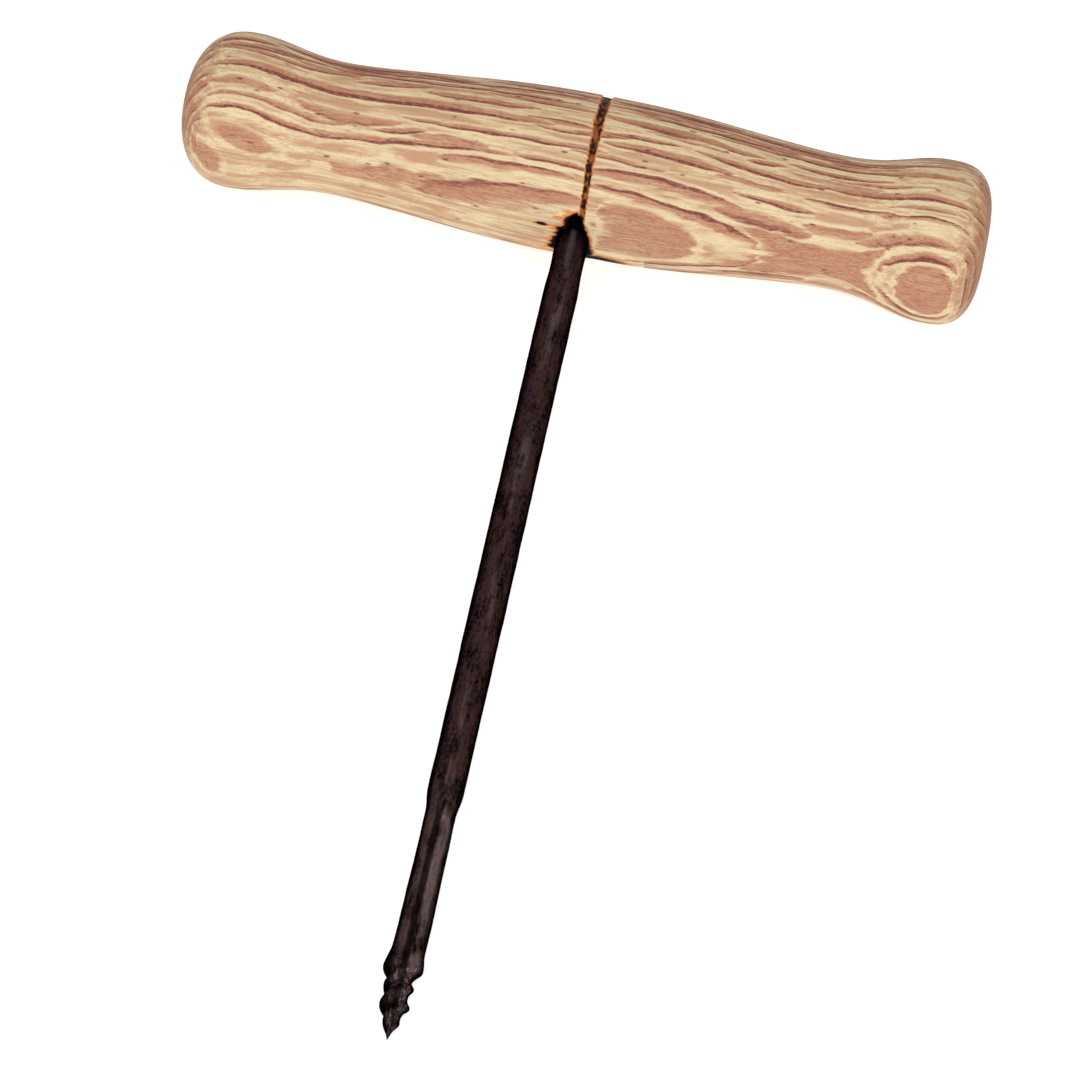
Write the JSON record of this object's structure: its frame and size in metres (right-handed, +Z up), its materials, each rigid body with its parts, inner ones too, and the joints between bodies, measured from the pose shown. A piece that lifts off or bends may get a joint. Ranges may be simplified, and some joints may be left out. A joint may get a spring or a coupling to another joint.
{
  "type": "garden dibber",
  "caption": "T-handled dibber: a turned wooden cross handle on a round forged steel shank with a fluted nose, cutters and a coarse lead screw at the tip.",
  "frame": {"origin": "on the ground under the middle of the tool's bounding box, as it lies on its side", "axes": "+Z up, +X along the handle towards its thicker, flatter end, +Y from the screw's point towards the handle, along the ground under the shank"},
  "size_m": [0.2096, 0.294, 0.0426],
  "materials": {
    "turned_wood": "satin",
    "forged_iron": "matte",
    "rove_iron": "matte"
  },
  "bodies": {
    "root": {"wooden_handle": "turned_wood", "forged_shank": "forged_iron", "tang_rove": "rove_iron"}
  },
  "joints": []
}
